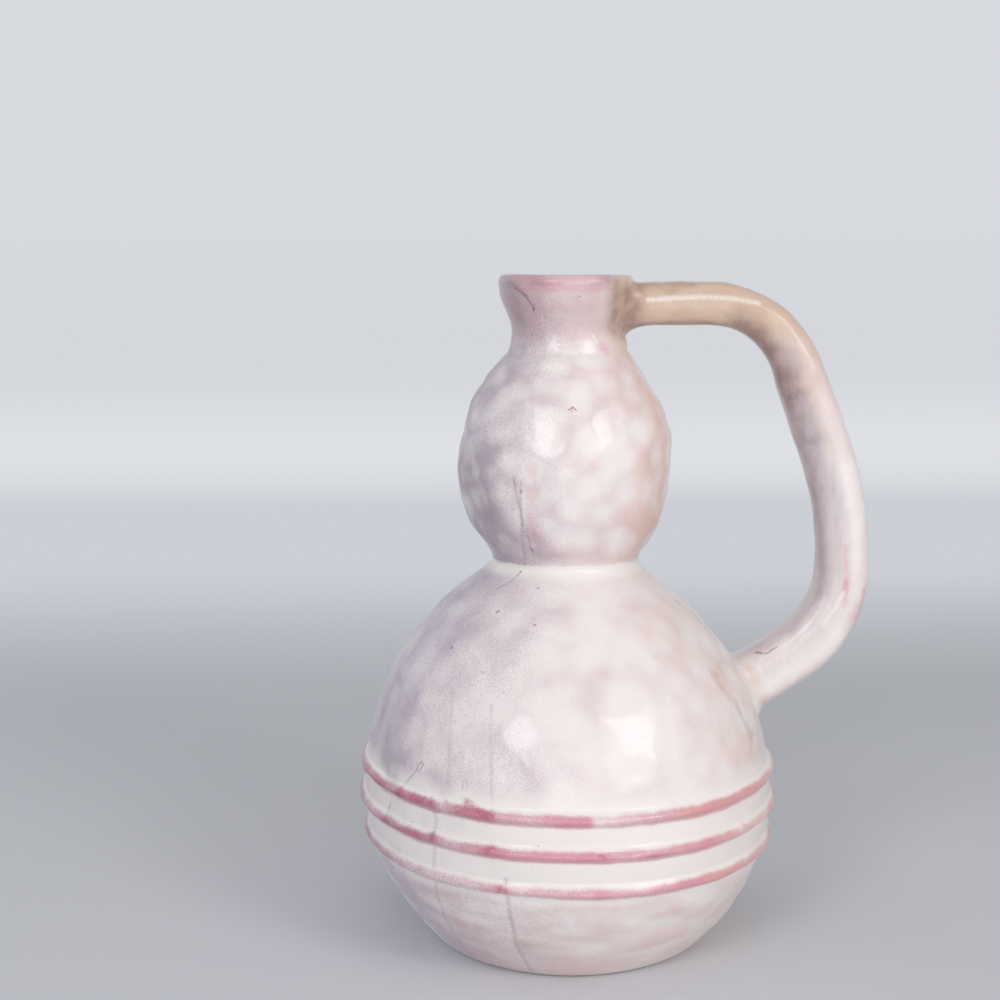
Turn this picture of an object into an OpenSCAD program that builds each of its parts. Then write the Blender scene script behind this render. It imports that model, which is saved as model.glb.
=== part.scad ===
// Handled double-gourd vase in glazed stoneware, built from thrown sections
// that are luted together with slip. All sizes are in millimetres, +Z is up,
// the origin is the centre of the underside of the base and the handle
// stands on the +X side.

/* [Lower gourd] */
// Radius of the lower gourd where it meets the table
base_r = 57.5; // [50:0.5:64]
// Radius of the belly at its widest, between the raised ridges
belly_r = 86.4; // [80:0.2:92]
// Height of the widest part of the belly above the table
belly_h = 62; // [54:0.5:70]
// Height from the widest part of the belly to the top of its dome
dome_h = 95.2; // [86:0.2:104]
// Thickness of the thrown walls
wall = 5; // [4:0.1:6.5]
// Thickness of the base slab
floor_t = 6; // [4:0.1:8]
// Size of the rounding along the bottom edge
foot_round = 3; // [1.5:0.1:4]
// Size of the coil that is pressed into the corner between floor and wall
floor_fillet = 5; // [2:0.5:8]

/* [Ridges] */
// Height that a ridge stands out from the belly
ridge_h = 2.3; // [1.2:0.1:3.5]
// Width of a ridge where it sits on the belly
ridge_w = 7; // [4.5:0.1:9]
// Distance from the middle ridge up to the upper ridge
ridge_up = 13.8; // [11:0.1:18]
// Distance from the middle ridge down to the lower ridge
ridge_down = 15.1; // [11:0.1:18]

/* [Waist] */
// Radius of the two gourds where they meet, under the collar
waist_core_r = 28.5; // [26:0.1:31]
// Height of the plain band between the two gourds, under the collar
waist_h = 4.2; // [3:0.1:9]
// Thickness of the collar where it is narrowest
collar_t = 2.4; // [1.2:0.1:4.5]
// Distance that the collar runs down over the dome
collar_down = 10; // [7:0.1:13]
// Distance that the collar runs up over the bulb
collar_up = 4; // [3:0.1:6]

/* [Upper gourd] */
// Radius of the upper bulb at its widest
bulb_r = 44.5; // [41:0.1:50]
// Height from the bottom of the bulb to its widest part
bulb_low_h = 39.6; // [34:0.1:46]
// Height from the widest part of the bulb to the foot of the neck
bulb_high_h = 47.2; // [41:0.1:54]
// Height of the lap in the seams at the widest parts of both gourds
lap_h = 6; // [3:0.1:9]

/* [Neck and rim] */
// Radius of the neck at its foot, where it leaves the bulb
neck_foot_r = 24.3; // [23:0.1:26]
// Height of the curve from the foot of the neck to the throat
neck_foot_h = 8.8; // [5:0.1:12]
// Radius of the neck at the throat
throat_r = 22.6; // [20:0.1:23]
// Height from the throat to the seat of the lip
flare_h = 17; // [14:0.1:24]
// Radius of the neck where it carries the lip
rim_r = 27.6; // [25:0.1:31]
// Height of the lip
lip_h = 6; // [5:0.1:9]
// Thickness of the lip
lip_t = 4.4; // [3.5:0.1:5]
// Height of the rounding over the top of the lip
lip_round = 3.2; // [1.5:0.1:4.5]
// Distance that the lip rolls outwards over the neck
lip_roll = 0.3; // [0.1:0.1:0.8]

/* [Handle] */
// Distance from the top of the lip down to the middle of the handle's top run
handle_drop = 11.9; // [11:0.1:15]
// Height of the middle of the handle above the belly's widest part, where it lands
handle_land = 45.1; // [40:0.1:52]
// Distance from the axis to the middle of the handle's upright run
handle_reach = 117; // [110:0.5:128]
// Distance from the axis to the shoulder where the top run would meet the slope
handle_shoulder = 86.9; // [80:0.1:93]
// Radius of the upper bend
bend_upper_r = 40; // [30:1:48]
// Radius of the bow at the top of the upright run
bend_side_r = 138; // [90:2:138]
// Radius of the lower bend
bend_lower_r = 45; // [30:1:46]
// Thickness of the handle at its upper end
handle_t_top = 18.1; // [15:0.1:21]
// Thickness of the handle along the upright grip
handle_t_grip = 21.6; // [18:0.1:25]
// Thickness of the handle at its lower end
handle_t_low = 23.6; // [20:0.1:27]
// Width of the handle at its upper end
handle_w_top = 20; // [16:0.1:24]
// Width of the handle along the upright grip
handle_w_grip = 21; // [17:0.1:25]
// Width of the handle at its lower end
handle_w_low = 23.4; // [18:0.1:27]
// Distance from the side of the neck to the end of the handle, filled by the upper wad
wad_upper_l = 10; // [7:0.1:14]
// Distance from the belly to the end of the handle, filled by the lower wad
wad_lower_l = 11; // [7:0.1:18]
// Distance that the lower side of the upper wad spreads down the neck
wad_upper_down = 4.5; // [2:0.1:7]
// Distance that the top side of the upper wad spreads up towards the lip
wad_upper_up = 1; // [0.5:0.1:2]
// Distance that the sides of the upper wad spread round the neck
wad_upper_side = 2.5; // [1:0.1:4]
// Distance that the lower wad spreads over the belly all round
wad_lower_spread = 2.6; // [1:0.1:5]

/* [Hidden] */

// Facets round a turned section and round the handle's section
round_fn = 128;
section_n = 28;

// Points along the long curves, the short curves, and the rounding of an edge
long_n = 14;
short_n = 7;
edge_n = 5;

// Rings along each bend of the handle and along each wad
bend_n = 10;
bow_n = 5;
wad_n = 7;

// Taper of the lap faces, and the score and bead at the seam of the waist
lap_taper = wall / 12;
waist_score = wall / 8;
waist_bead = wall / 6;

// How squarely the handle's section is rounded: 2 is an ellipse
section_power = 2.5;
// How the ridge leans: below 1 the crest lies towards its lower edge
ridge_lean = 0.72;
ridge_power = 1.25;
// How late the wads flare
flare_power = 2.6;

// Where the upright run of the handle starts and ends, and where the handle
// has reached its grip's section, as shares of its drop
side_top_share = 0.53;
side_low_share = 0.839;
grip_share = 0.26;

// Heights of the seams, from the table up, and the radius of the waist
seam_belly_z = belly_h;
dome_top_z = belly_h + dome_h;
seam_waist_z = dome_top_z + waist_h / 2;
waist_r = waist_core_r + collar_t;
bulb_foot_z = dome_top_z + waist_h;
bulb_z = bulb_foot_z + bulb_low_h;
neck_z = bulb_z + bulb_high_h;
throat_z = neck_z + neck_foot_h;
lip_z = throat_z + flare_h;
top_z = lip_z + lip_h;

// Lower and upper edges of each ridge, and of the collar
ridge_lower_z = seam_belly_z - ridge_down;
ridge_upper_z = seam_belly_z + ridge_up;
collar_low_z = dome_top_z - collar_down;
collar_high_z = bulb_foot_z + collar_up;

// Half a gourd: height of its widest part, signed height from there to its
// end, radius at the widest part and radius at the end
bowl_half = [seam_belly_z, -belly_h, belly_r, base_r];
dome_half = [seam_belly_z, dome_h, belly_r, waist_core_r];
bulb_low_half = [bulb_z, -bulb_low_h, bulb_r, waist_core_r];
bulb_high_half = [bulb_z, bulb_high_h, bulb_r, neck_foot_r];

// Angle through which half a gourd swings from its widest part to its end,
// along a quarter of an ellipse
function swing(half) = acos(half[3] / half[2]);
function swing_at(z, half) = asin((z - half[0]) / half[1] * sin(swing(half)));
function half_point(a, half) = [half[2] * cos(a), half[0] + half[1] * sin(a) / sin(swing(half))];
// How much half a gourd narrows with height at the point that lies at an angle
function half_slope(a, half) = half[2] / half[1] * sin(swing(half)) * tan(a);

// Points of half a gourd from height z0 to height z1, in n equal swings
function half_span(z0, z1, half, n) =
    let (a0 = swing_at(z0, half), a1 = swing_at(z1, half))
    [for (i = [0:n]) half_point(a0 + (a1 - a0) * i / n, half)];

// The inside of half a gourd, one wall in from the outside all along
function inner_half(half) =
    let (
        wide_r = half[2] - wall,
        end_r = half[3] - wall,
        rise = abs(half[1]) / sin(swing(half)) - wall
    )
    [half[0], sign(half[1]) * rise * sin(acos(end_r / wide_r)), wide_r, end_r];
function end_z(half) = half[0] + half[1];

function mix(a, b, t) = a + (b - a) * t;
function ease(t) = t * t * (3 - 2 * t);
function reversed(list) = [for (i = [len(list) - 1:-1:0]) list[i]];
function unit(v) = v / norm(v);

// Curve that leaves p0 towards p1 and reaches p2 from p1
function bend_curve(p0, p1, p2, n) =
    [for (i = [0:n]) let (t = i / n) mix(mix(p0, p1, t), mix(p1, p2, t), t)];

// Outside of each thrown section, from its lower to its upper edge
foot_edge = bend_curve(
    [base_r - foot_round, 0], [base_r, 0], half_span(foot_round, floor_t, bowl_half, edge_n)[0], edge_n);
base_outer = concat(foot_edge, half_span(foot_round, floor_t, bowl_half, edge_n));

ridge_lower_seat = half_span(ridge_lower_z - ridge_w / 2, ridge_lower_z + ridge_w / 2, bowl_half, 1);
ridge_middle_seat = concat(
    [half_span(seam_belly_z - ridge_w / 2, seam_belly_z, bowl_half, 1)[0]],
    half_span(seam_belly_z, seam_belly_z + ridge_w / 2, dome_half, 1));
ridge_upper_seat = half_span(ridge_upper_z - ridge_w / 2, ridge_upper_z + ridge_w / 2, dome_half, 1);

bowl_outer = concat(
    half_span(floor_t, ridge_lower_seat[0][1], bowl_half, long_n),
    half_span(ridge_lower_seat[1][1], ridge_middle_seat[0][1], bowl_half, short_n),
    [ridge_middle_seat[1]]);
collar_over_dome = half_span(collar_low_z, dome_top_z, dome_half, short_n);
dome_outer = concat(
    [ridge_middle_seat[1]],
    half_span(ridge_middle_seat[2][1], ridge_upper_seat[0][1], dome_half, short_n),
    half_span(ridge_upper_seat[1][1], collar_low_z, dome_half, long_n),
    collar_over_dome,
    [[waist_core_r - waist_score, seam_waist_z]]);
collar_over_bulb = reversed(half_span(collar_high_z, bulb_foot_z, bulb_low_half, short_n));
bulb_low_outer = concat(
    [[waist_core_r - waist_score, seam_waist_z]],
    collar_over_bulb,
    reversed(half_span(bulb_z, collar_high_z, bulb_low_half, long_n)));
bulb_high_outer = half_span(bulb_z, neck_z, bulb_high_half, long_n);

// Outside of the neck: a short curve in to the throat, then a flare to the lip
function neck_r(z) =
    z < throat_z
    ? mix(throat_r, neck_foot_r, pow((throat_z - z) / neck_foot_h, 2))
    : mix(throat_r, rim_r, ease((z - throat_z) / flare_h));
function neck_wall(z) = mix(wall, lip_t, (z - neck_z) / (lip_z - neck_z));
neck_zs = concat(
    [for (i = [0:short_n - 1]) mix(neck_z, throat_z, i / short_n)],
    [for (i = [0:long_n]) mix(throat_z, lip_z, i / long_n)]);
neck_outer = [for (z = neck_zs) [neck_r(z), z]];
neck_inner = [for (z = neck_zs) [neck_r(z) - neck_wall(z), z]];

// The lip from its outer edge over the top to its inner edge
lip_middle_r = rim_r + lip_roll - lip_t / 2;
lip_round_z = top_z - lip_round;
lip_over = [
    for (i = [0:2 * short_n])
    let (a = 180 * i / (2 * short_n))
    [lip_middle_r + lip_t / 2 * cos(a), lip_round_z + lip_round * sin(a)]
];

// Inside of each thrown section, from its lower to its upper edge
bowl_in = inner_half(bowl_half);
dome_in = inner_half(dome_half);
bulb_low_in = inner_half(bulb_low_half);
bulb_high_in = inner_half(bulb_high_half);
fillet_top = half_span(floor_t + floor_fillet, seam_belly_z, bowl_in, long_n)[0];
fillet_foot_r = half_point(swing_at(floor_t, bowl_in), bowl_in)[0];
bowl_inner = concat(
    bend_curve([fillet_foot_r - floor_fillet, floor_t], [fillet_foot_r, floor_t], fillet_top, edge_n),
    half_span(floor_t + floor_fillet, seam_belly_z, bowl_in, long_n),
    half_span(seam_belly_z, seam_belly_z + lap_h, dome_in, 2));
dome_inner = concat(
    half_span(seam_belly_z + lap_h, end_z(dome_in), dome_in, 2 * long_n),
    [[waist_core_r - wall - waist_bead, seam_waist_z]]);
bulb_low_inner = concat(
    [[waist_core_r - wall - waist_bead, seam_waist_z]],
    reversed(half_span(bulb_z, end_z(bulb_low_in), bulb_low_in, long_n)),
    half_span(bulb_z, bulb_z + lap_h, bulb_high_in, 2));
bulb_high_inner = concat(
    half_span(bulb_z + lap_h, end_z(bulb_high_in), bulb_high_in, long_n),
    [neck_inner[0]]);

// The lapped edge at the widest part of a gourd: outer half below, inner above
function lap_edge(wide_r, z) = [
    [wide_r - wall / 2, z],
    [wide_r - wall / 2 - lap_taper, z + lap_h]
];

// A turned section: the outside going up, its top edge, and the inside coming down
module turned(points) {
    rotate_extrude($fn = round_fn) polygon(points);
}

// A ridge over its seat on the belly, with the crest nearer its lower edge
module ridge(seat) {
    low = seat[0];
    high = seat[len(seat) - 1];
    crest = [
        for (i = [1:2 * short_n - 1])
        let (t = i / (2 * short_n), lean = pow(t, ridge_lean))
        mix(low, high, t) + [ridge_h * pow(sin(180 * lean), ridge_power), 0]
    ];
    color("#c88798") turned(concat(seat, reversed(crest)));
}

// The handle's middle line: straight runs joined by bends that all turn the same way
handle_z = top_z - handle_drop;
landing_z = seam_belly_z + handle_land;
landing = half_point(swing_at(landing_z, dome_half), dome_half);
fall = handle_z - landing_z;
side_top = [handle_reach, handle_z - side_top_share * fall];
side_low = [handle_reach, handle_z - side_low_share * fall];
shoulder = [handle_shoulder, handle_z];
handle_start = [neck_r(min(handle_z, lip_z)) + wad_upper_l, handle_z];
run_dir = unit(landing - side_low);
handle_end = landing - wad_lower_l * run_dir;

// Points and directions along the bend of radius r at v, between a and b
function bend(a, v, b, r, n) =
    let (
        d1 = unit(v - a),
        turn = acos(d1 * unit(b - v)),
        start = v - r * tan(turn / 2) * d1,
        centre = start + r * [d1[1], -d1[0]]
    )
    [for (i = [0:n])
        let (
            s = turn * i / n,
            d = [d1[0] * cos(s) + d1[1] * sin(s), d1[1] * cos(s) - d1[0] * sin(s)]
        )
        [centre - r * [d[1], -d[0]], d]];

handle_line = concat(
    [[handle_start, [1, 0]]],
    bend(handle_start, shoulder, side_top, bend_upper_r, bend_n),
    bend(shoulder, side_top, side_low, bend_side_r, bow_n),
    bend(side_top, side_low, landing, bend_lower_r, bend_n),
    [[handle_end, run_dir]]);

// A size of the handle at a height: from its top size to its grip size over
// the upper bend, and on to its low size down the upright run
function within(t) = max(0, min(1, t));
function along(z, top, grip, low) =
    let (
        down = (handle_z - z) / fall,
        upper = within(down / grip_share),
        lower = within((down - side_top_share) / (side_low_share - side_top_share))
    )
    mix(mix(top, grip, ease(upper)), low, pow(lower, 2));
function handle_t(z) = along(z, handle_t_top, handle_t_grip, handle_t_low);
function handle_w(z) = along(z, handle_w_top, handle_w_grip, handle_w_low);

// One ring round the middle line, square to it, with half sizes to its
// outer side, its inner side and sideways
function rounded(c) = sign(c) * pow(abs(c), 2 / section_power);
function ring(at, dir, out, in, side) = [
    for (k = [0:section_n - 1])
    let (
        a = 360 * k / section_n,
        u = rounded(sin(a)) * (sin(a) > 0 ? out : in)
    )
    [at[0] - dir[1] * u, side * rounded(cos(a)), at[1] + dir[0] * u]
];

// A closed skin over rings that follow each other, with flat ends
module skin(rings) {
    n = section_n;
    last = (len(rings) - 1) * n;
    polyhedron(
        points = [for (r = rings) each r],
        faces = concat(
            [[for (k = [0:n - 1]) k]],
            [for (i = [0:len(rings) - 2], k = [0:n - 1])
                let (a = i * n + k, b = i * n + (k + 1) % n)
                each [[a, a + n, b + n], [a, b + n, b]]],
            [[for (k = [n - 1:-1:0]) last + k]]),
        convexity = 6);
}

// What a wad is pressed against: the closed outline of the sections behind it
module upper_backing() {
    lip_outside = [for (i = [0:short_n]) lip_over[i]];
    turned(concat([[0, bulb_z]], bulb_high_outer, neck_outer, lip_outside, [[0, top_z]]));
}
module lower_backing() {
    turned(concat([[0, seam_belly_z]], dome_outer, [[0, seam_waist_z]]));
}

module base_slab() {
    color("#c9b8a4") turned(concat([[0, 0]], base_outer, [[0, floor_t]]));
}

module lower_bowl() {
    color("#e3d8da") turned(concat(
        bowl_outer, lap_edge(belly_r, seam_belly_z), reversed(bowl_inner)));
}

module belly_dome() {
    color("#e6dcde") turned(concat(
        dome_outer, reversed(dome_inner), reversed(lap_edge(belly_r, seam_belly_z))));
}

module ridge_lower() {
    ridge(ridge_lower_seat);
}

module ridge_middle() {
    ridge(ridge_middle_seat);
}

module ridge_upper() {
    ridge(ridge_upper_seat);
}

// A soft hollow that leaves half a gourd at a height and ends upright in the waist
function hollow(z, half, n) =
    let (
        a = swing_at(z, half),
        from = half_point(a, half),
        meet_z = z + (from[0] - waist_r) / half_slope(a, half)
    )
    bend_curve(from, [waist_r, meet_z], [waist_r, bulb_foot_z], n);

// The coil that is pressed into the waist, hollowed to a soft curve
module waist_collar() {
    over_bulb = hollow(collar_high_z, bulb_low_half, short_n);
    over_dome = reversed(hollow(collar_low_z, dome_half, long_n));
    color("#efe8e8") turned(concat(
        collar_over_dome,
        [[waist_core_r - waist_score, seam_waist_z]],
        collar_over_bulb,
        [for (i = [1:short_n]) over_bulb[i]],
        [for (i = [1:long_n - 1]) over_dome[i]]));
}

module bulb_lower() {
    color("#e0d3d6") turned(concat(
        bulb_low_outer, lap_edge(bulb_r, bulb_z), reversed(bulb_low_inner)));
}

module bulb_upper() {
    color("#e6dbdc") turned(concat(
        bulb_high_outer, reversed(bulb_high_inner), reversed(lap_edge(bulb_r, bulb_z))));
}

module neck() {
    color("#e2d5d4") turned(concat(neck_outer, reversed(neck_inner)));
}

module rim_lip() {
    color("#d9a9ac") turned(concat(
        [[rim_r, lip_z]], lip_over, [[rim_r - lip_t, lip_z]]));
}

module handle() {
    color("#e0d0cd") skin([
        for (s = handle_line)
        let (t = handle_t(s[0][1]) / 2, w = handle_w(s[0][1]) / 2)
        ring(s[0], s[1], t, t, w)
    ]);
}

// The wad between the neck and the handle, which spreads down under it
module handle_wad_upper() {
    t = handle_t(handle_z) / 2;
    w = handle_w(handle_z) / 2;
    into = handle_start[0] - throat_r + wall;
    color("#dccfcd") difference() {
        skin(reversed([
            for (i = [0:wad_n])
            let (
                d = into * i / wad_n,
                f = min(1, pow(d / wad_upper_l, flare_power))
            )
            ring(handle_start - [d, 0], [1, 0],
                t + wad_upper_up * f, t + wad_upper_down * f, w + wad_upper_side * f)
        ]));
        upper_backing();
    }
}

// The wad between the handle and the belly
module handle_wad_lower() {
    t = handle_t(handle_end[1]) / 2;
    w = handle_w(handle_end[1]) / 2;
    into = wad_lower_l + 2 * wall;
    color("#e4dada") difference() {
        skin([
            for (i = [0:wad_n])
            let (
                d = into * i / wad_n,
                f = wad_lower_spread * min(1, pow(d / wad_lower_l, flare_power))
            )
            ring(handle_end + d * run_dir, run_dir, t + f, t + f, w + f)
        ]);
        lower_backing();
    }
}

base_slab();
lower_bowl();
belly_dome();
ridge_lower();
ridge_middle();
ridge_upper();
waist_collar();
bulb_lower();
bulb_upper();
neck();
rim_lip();
handle();
handle_wad_upper();
handle_wad_lower();
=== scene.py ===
import math
from itertools import product

import bpy
import numpy as np
from mathutils import Matrix, Vector


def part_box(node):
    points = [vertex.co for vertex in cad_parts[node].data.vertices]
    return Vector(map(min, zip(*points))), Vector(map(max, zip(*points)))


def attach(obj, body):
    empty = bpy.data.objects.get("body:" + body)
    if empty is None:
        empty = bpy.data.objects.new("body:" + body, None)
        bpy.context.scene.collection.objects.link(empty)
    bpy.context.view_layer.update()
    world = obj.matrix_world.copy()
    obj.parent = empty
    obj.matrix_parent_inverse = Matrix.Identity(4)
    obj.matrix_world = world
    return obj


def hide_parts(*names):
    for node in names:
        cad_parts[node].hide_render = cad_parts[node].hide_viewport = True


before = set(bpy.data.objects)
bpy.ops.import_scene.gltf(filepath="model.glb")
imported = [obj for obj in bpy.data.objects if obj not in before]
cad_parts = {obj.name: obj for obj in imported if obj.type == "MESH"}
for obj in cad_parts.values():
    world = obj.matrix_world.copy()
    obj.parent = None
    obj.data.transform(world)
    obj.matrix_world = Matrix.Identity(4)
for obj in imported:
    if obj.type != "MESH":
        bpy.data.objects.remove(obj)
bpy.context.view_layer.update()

# Everything below is worked out in millimetres, in the frame's own axes, and
# is turned into metres where a mesh, a lamp or the camera is made.
MM = 0.001
TURN = 2 * math.pi


def z_span(node):
    """Lowest and highest height of a node of the frame, in millimetres."""
    low_corner, high_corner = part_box(node)
    return low_corner[2] / MM, high_corner[2] / MM


def reach_of(node, axis):
    """How far a node of the frame reaches along an axis, in millimetres."""
    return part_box(node)[1][axis] / MM


# Heights and radii that the frame gives
floor_t = z_span("lower_bowl")[0]
ridge_spans = {name: z_span(name) for name in ("ridge_lower", "ridge_middle", "ridge_upper")}
low_ridge, mid_ridge, top_ridge = ridge_spans.values()
belly_h = sum(mid_ridge) / 2
belly_r = reach_of("lower_bowl", 1)
collar_low_z, collar_high_z = z_span("waist_collar")
bulb_z = z_span("bulb_upper")[0]
bulb_r = reach_of("bulb_upper", 0)
neck_z, lip_z = z_span("neck")
top_z = z_span("rim_lip")[1]
rim_r = reach_of("neck", 0)

# Sizes that the frame doesn't give by itself
wall = 5.0
base_r = 57.5
foot_round = 3.0
ridge_h = 2.45
ridge_lean = 0.80
ridge_power = 1.7
waist_core_r = 28.5
waist_r = 30.9
bulb_foot_z = 161.4
dome_top_z = 157.2
neck_foot_r = 24.3
throat_r = 22.6
throat_z = 257.0
lip_t = 4.4
lip_round = 3.2
lip_roll = 0.3
lap_h = 6.0
pole_r = 2.0

# How finely the skin is laid out
columns = 560
row_step = 0.95
fine_step = 0.5
inside_step = 2.0
under_step = 3.0


def smooth(t):
    t = np.clip(t, 0, 1)
    return t * t * (3 - 2 * t)


def mix(a, b, t):
    return a + (b - a) * t


# Seeded noise. Points are in units of one cell.
def lattice(p, seed):
    """Where each point lies in its cell, and random vectors with the number of the one for a nearby cell."""
    cell = np.floor(p).astype(int)
    rng = np.random.default_rng(seed)
    order = rng.permutation(256)
    vectors = rng.normal(size=(256, 3))

    def number(steps):
        x, y, z = (cell + steps).T
        return order[(order[(order[x & 255] + y) & 255] + z) & 255]

    return p - cell, vectors, number


def noise3(p, seed):
    """Gradient noise, about -1 to 1."""
    f, vectors, number = lattice(p, seed)
    vectors = vectors / np.linalg.norm(vectors, axis=1)[:, None]
    w = f * f * f * (f * (f * 6 - 15) + 10)
    total = 0
    for d in product((0, 1), repeat=3):
        weight = np.prod(np.where(d, w, 1 - w), axis=1)
        total = total + weight * np.sum(vectors[number(d)] * (f - d), axis=1)
    return total * 1.6


def dimples3(p, seed, softness=7.0):
    """Rounded hollows side by side, as a hammer or a thumb leaves them: 0 in a hollow, about 1 between."""
    f, vectors, number = lattice(p, seed)
    jitter = 0.5 + 0.36 * np.tanh(vectors)
    total = 0
    for d in product((-1, 0, 1), repeat=3):
        away = np.sum((jitter[number(d)] + d - f) ** 2, axis=1)
        total = total + np.exp(-softness * away)
    return np.clip(-np.log(total) / softness / 0.45, -0.4, 1.4)


# The outline of the vase, from the middle of the underside, up the outside,
# over the lip and down the inside of the neck
def half_gourd(wide_z, height, wide_r, end_r):
    """Radius as a function of height, along a quarter of an ellipse cut off at end_r."""
    swing = math.acos(end_r / wide_r)

    def radius(z):
        s = np.clip((z - wide_z) / height * math.sin(swing), -1, 1)
        return wide_r * np.sqrt(1 - s * s)

    def slope(z):
        s = np.clip((z - wide_z) / height * math.sin(swing), -0.999, 0.999)
        return -wide_r * s / np.sqrt(1 - s * s) * math.sin(swing) / height

    return radius, slope


bowl, _ = half_gourd(belly_h, -belly_h, belly_r, base_r)
dome, dome_slope = half_gourd(belly_h, dome_top_z - belly_h, belly_r, waist_core_r)
bulb_low, bulb_low_slope = half_gourd(bulb_z, bulb_foot_z - bulb_z, bulb_r, waist_core_r)
bulb_high, _ = half_gourd(bulb_z, neck_z - bulb_z, bulb_r, neck_foot_r)


def neck_r(z):
    foot = mix(throat_r, neck_foot_r, ((throat_z - z) / (throat_z - neck_z)) ** 2)
    flare = mix(throat_r, rim_r, smooth((z - throat_z) / (lip_z - throat_z)))
    return np.where(z < throat_z, foot, flare)


def bezier(p0, p1, p2, n=24):
    t = np.linspace(0, 1, n)[:, None]
    return mix(mix(np.array(p0), np.array(p1), t), mix(np.array(p1), np.array(p2), t), t)


def by_height(radius, z0, z1, n=160):
    """Outline points of a radius function between two heights, closer together towards z1's end."""
    z = mix(z0, z1, np.sin(np.linspace(0, 0.5, n) * math.pi))
    return np.stack([radius(z), z], 1)


def hollow(z, radius, slope):
    """The soft hollow from a gourd's side into the waist."""
    r = float(radius(z))
    meet = z + (waist_r - r) / float(slope(z))
    return [(r, z), (waist_r, meet), (waist_r, bulb_foot_z)]


def neck_inside(z):
    return neck_r(z) - mix(wall, lip_t, (z - neck_z) / (lip_z - neck_z))


def bulb_inside(z):
    return np.maximum(bulb_high(z), neck_foot_r) - wall


foot_edge = bezier((base_r - foot_round, 0), (base_r, 0), (float(bowl(foot_round)), foot_round))
collar_low = bezier(*hollow(collar_low_z, dome, dome_slope))
collar_high = bezier(*hollow(collar_high_z, bulb_low, bulb_low_slope))[::-1]
lip_middle = rim_r + lip_roll - lip_t / 2
lip_angles = np.linspace(0, math.pi, 40)
lip_over = np.stack([lip_middle + lip_t / 2 * np.cos(lip_angles),
                     top_z - lip_round + lip_round * np.sin(lip_angles)], 1)
segments = [
    ("under", np.array([(pole_r, 0), (base_r - foot_round, 0)]), under_step),
    ("foot", np.concatenate([foot_edge, by_height(bowl, foot_round, floor_t)]), fine_step),
    ("bowl_a", by_height(bowl, floor_t, low_ridge[0]), row_step),
    ("ridge_lower", by_height(bowl, *low_ridge), fine_step),
    ("bowl_b", by_height(bowl, low_ridge[1], mid_ridge[0]), row_step),
    ("ridge_middle_a", by_height(bowl, mid_ridge[0], belly_h), fine_step),
    ("ridge_middle_b", by_height(dome, belly_h, mid_ridge[1]), fine_step),
    ("dome_a", by_height(dome, mid_ridge[1], top_ridge[0]), row_step),
    ("ridge_upper", by_height(dome, *top_ridge), fine_step),
    ("dome_b", by_height(dome, top_ridge[1], collar_low_z), row_step),
    ("collar", np.concatenate([collar_low, collar_high]), fine_step),
    ("bulb_a", by_height(bulb_low, collar_high_z, bulb_z), row_step),
    ("bulb_b", by_height(bulb_high, bulb_z, neck_z), row_step),
    ("neck", by_height(neck_r, neck_z, lip_z), row_step),
    ("lip", np.concatenate([[(rim_r, lip_z)], lip_over, [(rim_r - lip_t, lip_z)]]), fine_step),
    ("neck_inside", by_height(neck_inside, lip_z, neck_z), row_step),
    ("bulb_inside", by_height(bulb_inside, neck_z, bulb_z + lap_h), inside_step),
]


def resample(points, step):
    keep = np.r_[True, np.linalg.norm(np.diff(points, axis=0), axis=1) > 1e-9]
    points = points[keep]
    along = np.r_[0, np.cumsum(np.linalg.norm(np.diff(points, axis=0), axis=1))]
    n = max(2, int(round(along[-1] / step)))
    at = np.linspace(0, along[-1], n + 1)
    return np.stack([np.interp(at, along, points[:, k]) for k in (0, 1)], 1)


outline, span = [], {}
for name, points, step in segments:
    rows = resample(points, step)
    start = max(len(outline) - 1, 0)
    outline.extend(rows if not outline else rows[1:])
    span[name] = (start, len(outline) - 1)
outline = np.array(outline)
row_count = len(outline)
row_r, row_z = outline[:, 0], outline[:, 1]


def rows_of(name):
    """The rows of a segment, or of a ridge, whose middle one is laid out in two segments."""
    first, last = (name, name) if name in span else (name + "_a", name + "_b")
    return slice(span[first][0], span[last][1] + 1)


def up_ridge(name):
    """How far up its ridge each row of it is, 0 to 1."""
    z0, z1 = ridge_spans[name]
    return np.clip((row_z[rows_of(name)] - z0) / (z1 - z0), 0, 1)


lip_crest = sum(span["lip"]) // 2
outside = np.arange(row_count) <= lip_crest

# The skin as a grid of rows and columns
angle = np.arange(columns) * TURN / columns
cos_a, sin_a = np.cos(angle), np.sin(angle)
ring3 = np.stack([cos_a, sin_a, np.zeros(columns)], 1)


def band(z, z0, z1, soft):
    """0 up to z0, rising to 1 within soft mm, and falling back to 0 within soft mm past z1."""
    return smooth((z - z0) / soft) * (1 - smooth((z - z1) / soft))


def tilt_share(z):
    """How far the ridges' slant reaches: all of it at belly and rim, none at table and waist."""
    belly = smooth((z - 8) / 40) * (1 - smooth((z - 90) / 60))
    rim = smooth((z - 235) / 30)
    return belly + rim


slant = 0.0100
wobble_mm, wobble_low_z, wobble_high_z, wobble_soft = 0.35, 30, 85, 15

# Heights, and how far each leans towards the handle, in mm
leans = np.array([
    (0, 0.8), (14, 1.5), (30, 0.5), (60, 0.2), (108, 0), (119, -1.3), (132, -1.4), (148, -2.2), (155, -1.4),
    (161, -0.1), (172, 0), (181, -0.6), (192, -1.4), (202, -1.0), (215, 0.4), (228, -0.3), (245, 0)])
# Heights, and how much fuller than the outline each is, in mm
swells = np.array([
    (0, -0.2), (8, -0.9), (26, -0.8), (34, 0), (112, 0), (131, -1.3), (138, -0.9), (150, 0), (228, 0),
    (236, -1.3), (244, 0)])


def lean_at(z):
    return np.interp(z, *leans.T)


def swell_at(z):
    return np.interp(z, *swells.T)


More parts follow.
